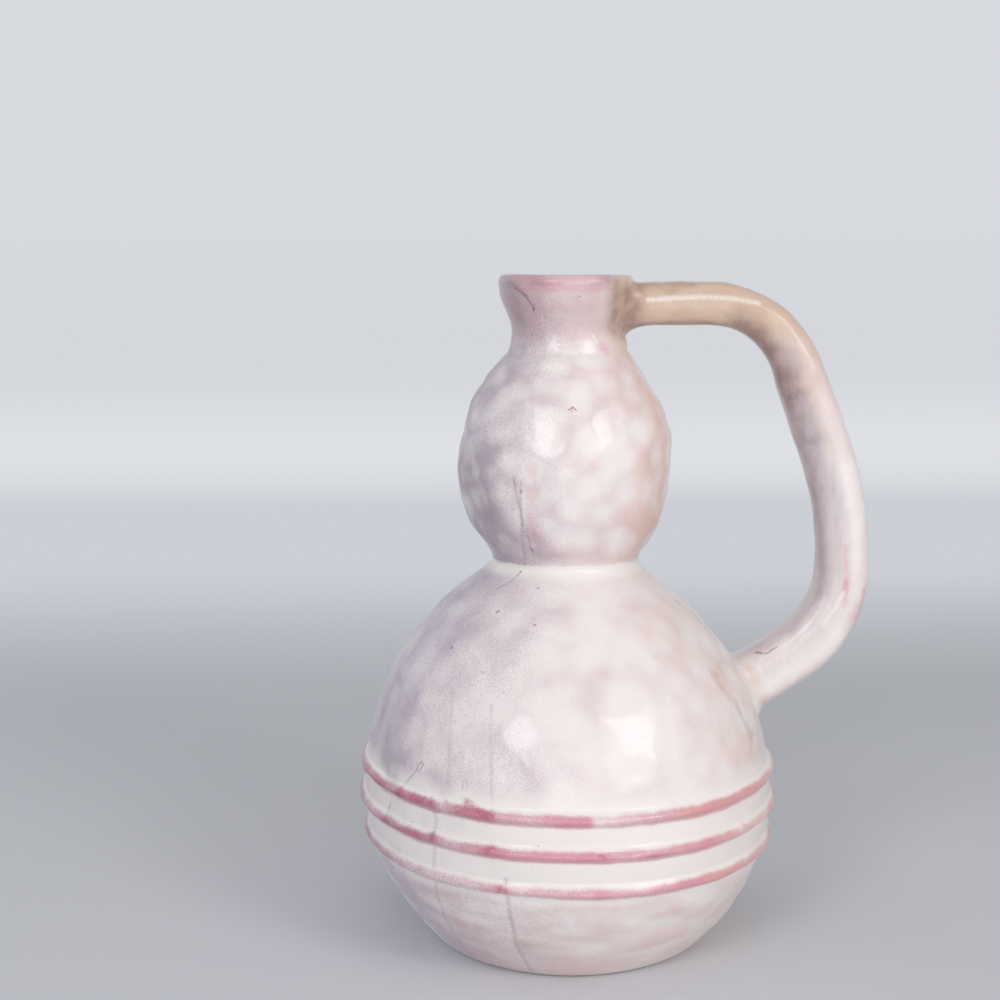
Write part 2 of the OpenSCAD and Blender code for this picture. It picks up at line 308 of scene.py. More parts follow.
def ring_point(r, z, nr, nz):
    """Points and outward directions of one row, before anything is pressed into it."""
    x = r * cos_a
    shift = -slant * x * tilt_share(z)
    wobble_share = band(z, wobble_low_z, wobble_high_z, wobble_soft)
    if wobble_share > 0:
        ring = np.stack([cos_a * 2.1, sin_a * 2.1, np.full(columns, z / 40)], 1)
        shift = shift + wobble_mm * noise3(ring, 11) * wobble_share
    zz = z + shift
    rr = np.full(columns, r)
    if floor_t < z < collar_low_z:
        base = bowl(z) if z < belly_h else dome(z)
        moved = np.where(zz < belly_h, bowl(zz), dome(zz))
        rr = r + moved - base
    p = np.stack([rr * cos_a, rr * sin_a, zz], 1)
    n = np.stack([nr * cos_a, nr * sin_a, np.full(columns, nz)], 1)
    return p, n


tangent = np.gradient(outline, axis=0)
tangent /= np.linalg.norm(tangent, axis=1)[:, None]
row_nr, row_nz = tangent[:, 1], -tangent[:, 0]

grid = np.zeros((row_count, columns, 3))
grid_n = np.zeros((row_count, columns, 3))
for i in range(row_count):
    grid[i], grid_n[i] = ring_point(row_r[i], row_z[i], row_nr[i], row_nz[i])

flat = grid.reshape(-1, 3)
z_all = flat[:, 2]

# A thumb's hollows, wider ones, and waves, all about 0 midway between low and high
thumb = dimples3(flat / 10.5, 3) - 0.5
thumb_wide = dimples3(flat / 15.5 + 7.3, 5) - 0.5
waves = noise3(flat / np.array([19.0, 19.0, 6.0]), 8)
drift = 0.45 * noise3(flat / 34.0, 12) * band(z_all, 4, top_z + 20, 10)

# Bulb, dome, belly, bowl and neck: where the relief starts and ends and how softly, and its depth of thumb,
# thumb_wide and waves, all in mm
relief = [
    (bulb_foot_z + 2, neck_z - 6, 7, 0.66, 0.30, 0),
    (top_ridge[1] + 1, dome_top_z - 9, 9, 0.36, 0.50, 0),
    (low_ridge[0] - 4, top_ridge[1] + 3, 6, 0.14, 0, 0.10),
    (6, low_ridge[0] - 2, 7, 0, 0.22, 0.58),
    (neck_z - 4, top_z + 9, 5, 0, 0, 0.16),
]
press = sum(band(z_all, start, end, soft) * (a * thumb + b * thumb_wide + c * waves)
            for start, end, soft, a, b, c in relief)
press = press.reshape(row_count, columns)
amount = press + drift.reshape(row_count, columns)
amount[~outside] *= 0.2

# The ridges stand out from the wall, and rise and fall a little along their way
for k, name in enumerate(ridge_spans):
    height = ridge_h * np.sin(math.pi * up_ridge(name) ** ridge_lean) ** ridge_power
    lively = 1 + 0.16 * noise3(ring3 * 6 + k * 9.1, 21) + 0.10 * noise3(ring3 * 17 + k * 5.7, 22)
    amount[rows_of(name)] += height[:, None] * lively

# The neck runs out into the wad under the handle
runout_mm, runout_z, runout_half_h, runout_half_turn = 2.4, 252, 6, 0.8
turned_away = (angle + math.pi) % TURN - math.pi
runout = runout_mm * np.exp(-((row_z - runout_z) / runout_half_h) ** 2) * outside
amount += runout[:, None] * np.exp(-(turned_away / runout_half_turn) ** 2)

grid += grid_n * amount[:, :, None]
grid[:, :, :2] *= 1 + (swell_at(grid[:, :, 2]) / np.maximum(row_r, 20)[:, None])[:, :, None]
grid[:, :, 0] += lean_at(grid[:, :, 2])
under = span["under"][1]
grid[:under + 1, :, 2] = 0


def grid_normals(g):
    """Smooth normals of a grid whose columns close on themselves."""
    n = np.cross(np.roll(g, -1, 1) - np.roll(g, 1, 1), np.gradient(g, axis=0))
    return n / np.maximum(np.linalg.norm(n, axis=2), 1e-12)[:, :, None]


def skin_normals():
    """The skin's normals, which point straight down under the base."""
    normals = grid_normals(grid)
    normals[:under + 1] = (0, 0, -1)
    return normals


skin_n = skin_normals()

# What the materials read at each point of the skin: the relief, from -1 to 1, and from 0 to 1 the ridges'
# crests, where white glaze pools, the lip, and where the white runs thin over the pink
press_share = np.clip(press / 0.5, -1, 1)
crest, pool, rim = np.zeros((3, row_count, columns))
for k, name in enumerate(ridge_spans):
    t = up_ridge(name)[:, None]
    t = t + 0.07 * noise3(ring3 * 9 + k * 3.3, 31) + 0.03 * noise3(ring3 * 40 + k * 2.3, 32)
    crest[rows_of(name)] = smooth((t + 0.22) / 0.42) * (1 - smooth((t - 0.58) / 0.30))
    pool[rows_of(name)] = smooth((t - 0.66) / 0.20)


def set_rows(field, name, share):
    """Give each row of a segment the share that belongs to its height."""
    field[rows_of(name)] = share(row_z[rows_of(name)][:, None])


pool[rows_of("bowl_b")] = 1
pool[rows_of("dome_a")] = 1
set_rows(pool, "dome_b", lambda z: 1 - smooth((z - top_ridge[1]) / 9))
set_rows(pool, "bowl_a", lambda z: 0.6 * smooth((z - low_ridge[0] + 5) / 5))
milk_top = bulb_foot_z + 0.5 + 0.5 * noise3(ring3 * 6 + 1.7, 33) + 0.25 * noise3(ring3 * 19, 34)
milk_top += 1.5 * np.exp(-(angle - 0.75 * TURN) ** 2)
set_rows(pool, "collar",
         lambda z: smooth((z - bulb_foot_z + 5.5) / 3.5) * (1 - smooth((z - milk_top + 0.4) / 0.8)))
set_rows(rim, "neck", lambda z: smooth((z - lip_z + 3) / 6))
rim[rows_of("lip")] = 1
set_rows(rim, "neck_inside", lambda z: smooth((z - lip_z + 6) / 8))
blush_rows = (smooth((row_z - neck_z + 4) / 14)
              + (row_z > bulb_foot_z) * (1 - smooth((row_z - bulb_foot_z - 3) / 26))
              + (1 - smooth((row_z - 14) / 42)))
blush = np.repeat(blush_rows[:, None], columns, axis=1)


def tube_faces(rings, around, closed):
    """Four-sided faces between rings that follow each other, and back to the first where closed."""
    i = np.arange(rings if closed else rings - 1)[:, None]
    j = np.arange(around)[None, :]
    a = i * around + j
    b = i * around + (j + 1) % around
    c = ((i + 1) % rings) * around + (j + 1) % around
    d = ((i + 1) % rings) * around + j
    return np.stack([a, b, c, d], 2).reshape(-1, 4).tolist()


def lofted_piece(node, slot, rings, normals, values, material, tips=(), tip_normals=()):
    """One closed piece that stands for a node.

    It is a loop of rings, or a run of them with a fan to a tip at each end. The
    values are what its material reads at each point, and are 0 at the tips.
    """
    count, around = rings.shape[:2]
    faces = tube_faces(count, around, closed=len(tips) == 0)
    j = np.arange(around)
    after = (j + 1) % around
    last = (count - 1) * around
    for k, (a, b) in enumerate([(after, j), (last + j, last + after)][:len(tips)]):
        faces += np.stack([a, b, np.full(around, count * around + k)], 1).tolist()
    points = np.concatenate([rings.reshape(-1, 3), np.reshape(tips, (-1, 3))])
    normals = np.concatenate([normals.reshape(-1, 3), np.reshape(tip_normals, (-1, 3))])
    mesh = bpy.data.meshes.new("glazed_" + node)
    mesh.from_pydata((points * MM).tolist(), [], faces)
    mesh.update()
    for key, v in values.items():
        attribute = mesh.attributes.new(key, "FLOAT", "POINT")
        attribute.data.foreach_set("value", np.append(v, np.zeros(len(tips))).astype(np.float32))
    mesh.polygons.foreach_set("use_smooth", np.ones(len(mesh.polygons), bool))
    mesh.normals_split_custom_set_from_vertices(normals.tolist())
    mesh.materials.append(material)
    piece = bpy.data.objects.new("glazed_" + node, mesh)
    bpy.context.scene.collection.objects.link(piece)
    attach(piece, "root")
    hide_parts(node)


def plain_ring(r, z):
    """A round ring inside the wall, which leans with the skin."""
    r = r + min(float(swell_at(z)), 0.0)
    return np.stack([r * cos_a + lean_at(z), r * sin_a, np.full(columns, z)], 1)


def skin_rings(first, last=None):
    """Rows of the skin from the start of one segment to its end, or to the end of another."""
    return list(range(span[first][0], span[last or first][1] + 1))


def turned_piece(node, slot, section, **tips):
    """A piece of the body, whose section lists skin rows, as numbers, and hidden rings, as points."""
    def along(field):
        """What a field holds on the section's skin rows, and 0 on its hidden rings."""
        hidden = np.zeros_like(field[0])
        return np.array([field[item] if isinstance(item, int) else hidden for item in section])

    rings = np.array([grid[item] if isinstance(item, int) else item for item in section])
    fields = {"press": press_share, "crest": crest, "pool": pool, "rim": rim, "blush": blush}
    values = {key: along(field) for key, field in fields.items()}
    material = glaze(node + "_glaze", marks_between(*z_span(node)))
    lofted_piece(node, slot, rings, along(skin_n), values, material, **tips)


# The handle: a pulled strap whose middle line has straight runs and round bends
handle_z = 268.1
handle_reach = 117.0
handle_shoulder = 86.9
landing_z = 107.1
side_top_z, side_low_z = 182.8, 133.0
bend_radii = {"upper": 40.0, "side": 138.0, "lower": 45.0}
thickness = {"top": 18.1, "grip": 21.6, "low": 23.6}
width = {"top": 20.0, "grip": 21.0, "low": 23.4}
grip_z = 226.0
wad_upper_l, wad_lower_l = 10.0, 11.0
section_power = 2.7
around = 84
handle_step = 1.2
bend_softening = 12

# How much wider than the strap a wad's foot is, in mm: on the outer side, on the inner side and across
wad_upper_flare, wad_lower_flare = (1.2, 5.5, 4.5), (4.2, 4.2, 4.6)
# How strongly a wad keeps the strap's direction, and how flat it lands
wad_upper_pull, wad_lower_pull = (1.1, 0.9), (1.1, 1.1)
wad_ring_count = 22
# How far behind the strap's end the lines to a wad's foot start, how far they reach, and how deep the foot
# lies in the skin, in mm
wad_back, wad_reach, wad_sunk = 6, 40.0, 0.12


def skin_at(phi, z):
    """Radius and outward direction of the skin at an angle and a height, from the belly up to the lip."""
    first, last = span["dome_a"][0], lip_crest
    radii, normals = [], []
    for a, h in zip(np.atleast_1d(phi), np.atleast_1d(z)):
        at = (a / TURN * columns) % columns
        j0 = int(at)
        found = []
        for j in (j0, (j0 + 1) % columns):
            line, line_n = grid[first:last + 1, j], skin_n[first:last + 1, j]
            radius = np.hypot(line[:, 0], line[:, 1])
            found.append([np.interp(h, line[:, 2], v) for v in (radius, *line_n.T)])
        r, *n = mix(np.array(found[0]), np.array(found[1]), at - j0)
        radii.append(r)
        normals.append(np.array(n) / np.linalg.norm(n))
    return np.array(radii), np.array(normals)


def arc_between(a, v, b, r, n=60):
    """The round bend of radius r at corner v, on the way from a to b."""
    d1, d2 = (v - a) / np.linalg.norm(v - a), (b - v) / np.linalg.norm(b - v)
    turn = math.acos(float(d1 @ d2))
    start = v - r * math.tan(turn / 2) * d1
    square = np.array([d1[1], -d1[0]])
    s = np.linspace(0, turn, n)[:, None]
    d = d1 * np.cos(s) + square * np.sin(s)
    return start + r * square - r * np.stack([d[:, 1], -d[:, 0]], 1)


landing = np.array([float(dome(landing_z)), landing_z])
corner = np.array([(handle_shoulder, handle_z), (handle_reach, side_top_z), (handle_reach, side_low_z)])
run_dir = (landing - corner[2]) / np.linalg.norm(landing - corner[2])
handle_start = np.array([float(neck_r(handle_z)) + wad_upper_l, handle_z])
handle_end = landing - wad_lower_l * run_dir
middle = np.concatenate([
    [handle_start],
    arc_between(handle_start, corner[0], corner[1], bend_radii["upper"]),
    arc_between(corner[0], corner[1], corner[2], bend_radii["side"]),
    arc_between(corner[1], corner[2], landing, bend_radii["lower"]),
    [handle_end]])
middle = resample(middle, handle_step)
for _ in range(bend_softening):
    middle[1:-1] = (middle[:-2] + 2 * middle[1:-1] + middle[2:]) / 4
heading = np.gradient(middle, axis=0)
heading /= np.linalg.norm(heading, axis=1)[:, None]


def along_handle(z, sizes):
    upper = smooth((handle_z - z) / (handle_z - grip_z))
    lower = np.clip((side_top_z - z) / (side_top_z - side_low_z), 0, 1) ** 2
    return mix(mix(sizes["top"], sizes["grip"], upper), sizes["low"], lower)


turn_k = np.arange(around) * TURN / around


def rounded(c):
    return np.sign(c) * np.abs(c) ** (2 / section_power)


def section_offsets(t, w, direction, grow_out=0.0, grow_in=0.0, grow_side=0.0):
    """Offsets of one ring from the middle line, square to its direction."""
    s, c = np.sin(turn_k), np.cos(turn_k)
    u = rounded(s) * (t / 2 + np.where(s > 0, grow_out, grow_in))
    v = rounded(c) * (w / 2 + grow_side)
    return np.stack([-direction[1] * u, v, direction[0] * u], 1)


centres = np.stack([middle[:, 0], np.zeros(len(middle)), middle[:, 1]], 1)
handle_rings = np.array([
    centre + section_offsets(along_handle(centre[2], thickness), along_handle(centre[2], width), d)
    for centre, d in zip(centres, heading)])
flat_h = handle_rings.reshape(-1, 3)
swell = (0.30 * noise3(flat_h / 24 + 3.1, 41) + 0.30 * (dimples3(flat_h / 13, 43) - 0.5)
         + 0.10 * noise3(flat_h / 7, 44)).reshape(len(middle), around)
fade = smooth(np.minimum(np.arange(len(middle)), np.arange(len(middle))[::-1]) / 8)[:, None]
spoke = handle_rings - centres[:, None, :]
spoke /= np.linalg.norm(spoke, axis=2)[:, :, None]
handle_rings += spoke * (swell * fade)[:, :, None]


def onto_skin(points, direction, halvings=30):
    """Where lines from points along a direction meet the skin, with the skin's outward directions there."""
    near, far = np.zeros(len(points)), np.full(len(points), wad_reach)
    for _ in range(halvings):
        s = (near + far) / 2
        p = points + s[:, None] * direction
        r, _ = skin_at(np.arctan2(p[:, 1], p[:, 0]), p[:, 2])
        out = np.hypot(p[:, 0], p[:, 1]) > r
        near, far = np.where(out, s, near), np.where(out, far, s)
    p = points + near[:, None] * direction
    _, n = skin_at(np.arctan2(p[:, 1], p[:, 0]), p[:, 2])
    return p, n


def wad_rings(ring, direction, offsets, pull):
    """Rings that flare from the handle's end ring until they lie flat on the skin."""
    foot, n = onto_skin(ring.mean(0) + offsets - wad_back * direction, direction)
    away = offsets - np.sum(offsets * n, 1)[:, None] * n
    away /= np.linalg.norm(away, axis=1)[:, None]
    foot = foot - wad_sunk * n
    length = np.linalg.norm(foot - ring, axis=1)[:, None]
    t = np.linspace(0, 1, wad_ring_count + 1)[1:, None, None]
    h00, h10 = 2 * t ** 3 - 3 * t ** 2 + 1, t ** 3 - 2 * t ** 2 + t
    h01, h11 = -2 * t ** 3 + 3 * t ** 2, t ** 3 - t ** 2
    rings = (h00 * ring + h10 * direction * length * pull[0]
             + h01 * foot + h11 * away * length * pull[1])
    return rings, n


to_neck = np.array([-1.0, 0, 0])
to_belly = np.array([run_dir[0], 0, run_dir[1]])
upper_offsets = section_offsets(thickness["top"], width["top"], -to_neck[::2], *wad_upper_flare)
lower_offsets = section_offsets(thickness["low"], width["low"], run_dir, *wad_lower_flare)
upper_wad, upper_n = wad_rings(handle_rings[0], to_neck, upper_offsets, wad_upper_pull)
lower_wad, lower_n = wad_rings(handle_rings[-1], to_belly, lower_offsets, wad_lower_pull)
strap = np.concatenate([upper_wad[::-1], handle_rings, lower_wad])
strap_n = grid_normals(strap)
strap_n[0], strap_n[-1] = upper_n, lower_n
first_ring, last_ring = len(upper_wad), len(upper_wad) + len(handle_rings) - 1
strap_span = {"handle_wad_upper": (0, first_ring), "handle": (first_ring, last_ring),
              "handle_wad_lower": (last_ring, len(strap) - 1)}


def strap_piece(node, material):
    """A stretch of the handle, closed by a fan at each end."""
    first, last = strap_span[node]
    rings, normals = strap[first:last + 1], strap_n[first:last + 1]
    edge = np.abs(np.sin(2 * turn_k)) ** 3
    values = {"press": np.tile(edge, len(rings)), "outer": np.tile(np.sin(turn_k), len(rings))}
    tips = rings[[0, -1]].mean(axis=1)
    lofted_piece(node, "handle_glaze", rings, normals, values, material, tips=tips, tip_normals=0 * tips)


# Where the camera stands, so that marks can be placed as the photograph shows them
focal_px, frame_px = 1600.0, 1000.0
camera_at = np.array([-27.86, -668.0, 281.3])
camera_down, camera_roll = math.radians(8.11), math.radians(0.33)


def seen_at(points):
    """The pixels, in a frame of 1000 by 1000, at which the camera sees points."""
    d = points - camera_at
    depth = d[..., 1] * math.cos(camera_down) - d[..., 2] * math.sin(camera_down)
    up = d[..., 1] * math.sin(camera_down) + d[..., 2] * math.cos(camera_down)
    u, w = focal_px * d[..., 0] / depth, focal_px * up / depth
    x = u * math.cos(camera_roll) - w * math.sin(camera_roll)
    y = u * math.sin(camera_roll) + w * math.cos(camera_roll)
    return np.stack([frame_px / 2 + x, frame_px / 2 - y], -1)


class Seen:
    """The side of a grid of points that the camera sees, for finding places on it."""

    def __init__(self, points, normals):
        points, normals = points.reshape(-1, 3), normals.reshape(-1, 3)
        shown = np.sum(normals * (camera_at - points), axis=1) > 0
        self.points = points[shown]
        self.pixels = seen_at(self.points)

    def place(self, pixel):
        """The point of the surface at a pixel."""
        gap = np.hypot(*(self.pixels - pixel).T)
        near = np.argpartition(gap, 5)[:5]
        weight = 1 / (gap[near] + 0.05) ** 2
        return (self.points[near] * weight[:, None]).sum(0) / weight.sum()

    def places(self, pixels):
        return [self.place(np.array(p)) for p in pixels]


body_rows = slice(span["foot"][0], lip_crest)
body_seen = Seen(grid[body_rows], skin_n[body_rows])
strap_seen = Seen(strap, strap_n)

# Lumps of glaze on the ridges: the pixel, the radius and the height in mm
lumps = [
    ((742, 827), 1.7, 0.85), ((469, 803), 1.7, 0.45), ((491, 850), 1.8, 0.55), ((603, 852), 1.4, 0.4),
    ((655, 849), 1.6, 0.35), ((397, 790), 2.0, 0.5), ((432, 800), 1.6, 0.35), ((502, 887), 1.8, 0.4),
    ((562, 818), 2.2, 0.25), ((690, 809), 2.0, 0.25), ((712, 836), 2.0, 0.25), ((676, 884), 2.2, 0.25),
]
for pixel, radius, height in lumps:
    away = np.linalg.norm(grid - body_seen.place(np.array(pixel)), axis=2)
    grid += skin_n * (height * np.exp(-(away / radius) ** 2))[:, :, None]

# Hollows that a thumb left, as calm places between the others: the pixel, and half the width, half the
# height and the depth in mm
hollows = [
    ((546, 433), 7.6, 8.6, 0.34), ((606, 434), 6.0, 7.0, 0.03), ((633, 736), 12.0, 14.0, 0.30),
]
for pixel, half_w, half_h, depth in hollows:
    gap = np.linalg.norm((grid - body_seen.place(np.array(pixel))) / (half_w, half_w, half_h), axis=2)
    calm = np.exp(-gap ** 4)
    grid -= skin_n * (press * calm + depth * np.exp(-gap ** 2))[:, :, None]
    press_share = press_share * (1 - calm) - 0.5 * np.exp(-gap ** 2)


def line_distance(points, line):
    """Distance of each point from a broken line."""
    best = np.full(points.shape[:-1], np.inf)
    for a, b in zip(line[:-1], line[1:]):
        along = np.clip((points - a) @ (b - a) / max((b - a) @ (b - a), 1e-9), 0, 1)
        best = np.minimum(best, np.linalg.norm(points - a - along[..., None] * (b - a), axis=-1))
    return best


# Creases: half width and depth in mm, and the pixels that each runs through
run_left = [(433.4, 812), (436.4, 820), (434.4, 830), (434, 846), (433.6, 863), (435.8, 888),
            (441, 907.6), (447, 921), (454, 933.2), (463, 945.6), (474, 956.4)]
run_right = [(505.6, 880), (508.4, 905), (512.6, 927.4), (518.4, 950), (531.6, 971.4)]
crease_high = [(676, 601), (691, 612), (702, 623), (716, 641)]
crease_low = [(715, 674), (725, 690), (738, 706), (747, 724), (752, 740)]
creases = [(1.3, 0.20, run_left), (1.3, 0.26, run_right), (2.8, 0.34, crease_high), (2.8, 0.34, crease_low)]
for half_w, depth, pixels in creases:
    gap = line_distance(grid, body_seen.places(pixels))
    grid -= skin_n * (depth * np.exp(-(gap / half_w) ** 2))[:, :, None]

skin_n = skin_normals()

# How strong the pink is along each ridge: the pixel of a place, across and down, and the strength there
crest_places = {
    "ridge_upper": [(366, 772, 0.6), (380, 783, 0.9), (390, 790, 0.6), (400, 793, 0.7), (412, 797, 0.8),
                    (432, 801, 0.8), (442, 804, 0.4), (456, 807, 0.8), (484, 814, 1.0), (500, 817, 0.7),
                    (530, 820, 0.65), (560, 822, 0.85), (588, 822, 0.9), (596, 822, 0.3), (608, 822, 0.4),
                    (640, 820, 0.6), (680, 813, 0.8), (720, 803, 0.95), (752, 790, 0.9), (768, 779, 0.6)],
    "ridge_middle": [(364, 806, 0.4), (385, 821, 0.7), (402, 829, 0.7), (430, 839, 0.8), (446, 842, 0.5),
                     (470, 848, 0.7), (490, 851, 0.9), (520, 855, 0.8), (560, 857, 0.85), (600, 857, 0.95),
                     (618, 857, 0.7), (650, 854, 0.85), (680, 850, 0.8), (712, 841, 0.95), (740, 830, 0.6),
                     (765, 812, 0.5)],
    "ridge_lower": [(372, 843, 0.4), (388, 856, 0.6), (405, 865, 0.35), (432, 875, 0.35), (460, 881, 0.3),
                    (500, 889, 0.7), (520, 892, 0.5), (560, 894, 0.65), (600, 894, 0.75), (640, 891, 0.65),
                    (690, 882, 0.95), (720, 872, 0.85), (755, 856, 0.6)],
}
for name, places in crest_places.items():
    points = np.array(body_seen.places([place[:2] for place in places]))
    turn = np.arctan2(points[:, 1], points[:, 0]) % TURN
    order = np.argsort(turn)
    turn, strengths = turn[order], np.array(places)[order, 2]
    wander = 0.72 + 0.45 * noise3(ring3 * 7 + 4.4 * len(name), 51)
    in_front = smooth((angle - turn[0] + 0.1) / 0.1) * (1 - smooth((angle - turn[-1]) / 0.1))
    crest[rows_of(name)] *= np.clip(mix(wander, np.interp(angle, turn, strengths), in_front), 0.2, 1)

# The lip is pinkest in front, and its pink comes and goes on the way round
lip_front = body_seen.place(np.array((566, 281)))
off_front = (angle - math.atan2(lip_front[1], lip_front[0]) + math.pi) % TURN - math.pi
rim *= np.clip(0.15 + 0.9 * np.exp(-(off_front / 0.80) ** 4) + 0.3 * noise3(ring3 * 2.3, 52), 0.1, 1)


# The materials. Lengths in a shader are in millimetres too.
def srgb(r, g, b):
    """A colour written as it looks on a screen, 0 to 255, as the shaders want it."""
    def linear(v):
        v = v / 255
        return v / 12.92 if v <= 0.04045 else ((v + 0.055) / 1.055) ** 2.4
    return (linear(r), linear(g), linear(b), 1.0)


WHITE = srgb(243, 235, 233)
MILK = srgb(246, 240, 236)
MAUVE = srgb(170, 155, 171)
LILAC = srgb(180, 165, 186)
ROSY = srgb(222, 195, 198)
PEACH = srgb(226, 190, 172)
DUSTY = srgb(200, 166, 168)
PLUM = srgb(136, 96, 116)
ROSE = srgb(216, 138, 156)
CRIMSON = srgb(176, 84, 112)
CORAL = srgb(218, 148, 148)
RIM_PINK = srgb(208, 146, 162)
BEIGE = srgb(208, 179, 155)
TAUPE = srgb(140, 112, 104)
SLATE = srgb(146, 132, 144)
GRAPE = srgb(130, 106, 130)
UMBER = srgb(104, 84, 84)
TAN = srgb(170, 108, 84)
CLAY = srgb(206, 190, 172)

# Dark specks on the body: width in mm, strength, and the pixels of the dot or line
specks = [
    (0.55, 0.85, [(451.7, 647.6)]), (0.50, 0.75, [(520.4, 571.6)]), (0.45, 0.55, [(501.6, 587.2)]),
    (0.48, 0.75, [(496.4, 612.2), (498.8, 610.8)]), (0.62, 0.80, [(534.7, 625.3)]),
    (0.35, 0.6, [(537, 588.4), (539, 588)]), (0.3, 0.45, [(481, 671), (484, 673.5)]),
    (0.35, 0.5, [(503.4, 691.9)]), (0.35, 0.5, [(538.6, 846)]), (0.4, 0.6, [(411.7, 822)]),
    (0.45, 0.65, [(579.5, 296.5)]), (0.40, 0.6, [(531.8, 336.5)]), (0.3, 0.4, [(521, 337.8)]),
    (0.3, 0.4, [(551, 350.4), (553.6, 350.8)]), (0.3, 0.4, [(579.5, 352.3)]),
]

